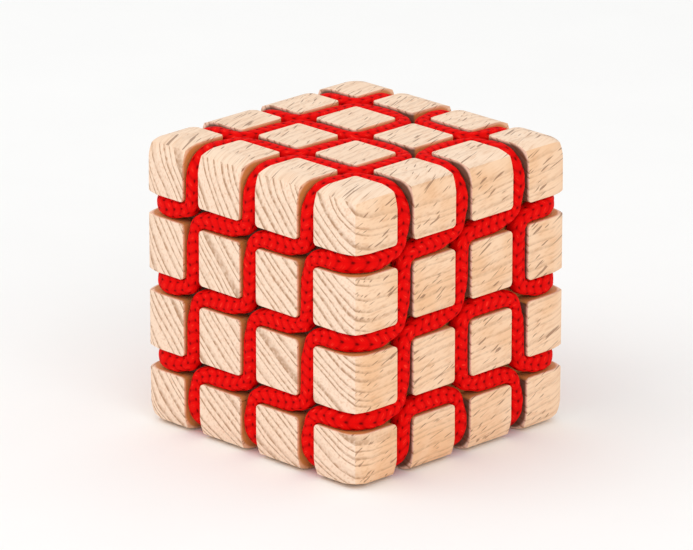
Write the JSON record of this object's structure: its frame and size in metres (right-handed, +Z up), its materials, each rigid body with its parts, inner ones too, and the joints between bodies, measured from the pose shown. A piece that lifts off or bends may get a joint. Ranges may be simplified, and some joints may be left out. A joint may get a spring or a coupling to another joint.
{
  "type": "cord winding cube puzzle",
  "caption": "Solid wooden cube with ring grooves over every face and one long cord wound through all of them, its free end lifting out of the last groove.",
  "frame": {"origin": "middle of the face that the cube rests on", "axes": "+Z up out of the top face, +X out of the long-grain face on the right, -Y out of the end-grain face on the left; the wood's grain runs along Y"},
  "size_m": [0.06, 0.06, 0.06],
  "materials": {
    "beech_wood": "bare, finely sanded beech",
    "red_cord": "braided synthetic cord",
    "cured_glue": "cured wood glue",
    "melted_cord": "heat sealed cord end"
  },
  "bodies": {
    "cube": {"grooved_block": "beech_wood", "wound_cord": "red_cord", "anchor_glue": "cured_glue"},
    "tail_inner": {"cord_tail_inner": "red_cord"},
    "tail_outer": {"cord_tail_outer": "red_cord", "sealed_tip": "melted_cord"}
  },
  "joints": [
    {"name": "tail_peel", "type": "hinge", "parent": "cube", "child": "tail_inner", "pos_m": [-0.02818, 0.02031, 0.03], "axis": [0, 0, 1], "range_deg": [0, 90]},
    {"name": "tail_unbend", "type": "hinge", "parent": "tail_inner", "child": "tail_outer", "pos_m": [-0.0267, 0.0267, 0.03], "axis": [0, 0, 1], "range_deg": [0, 90]}
  ]
}
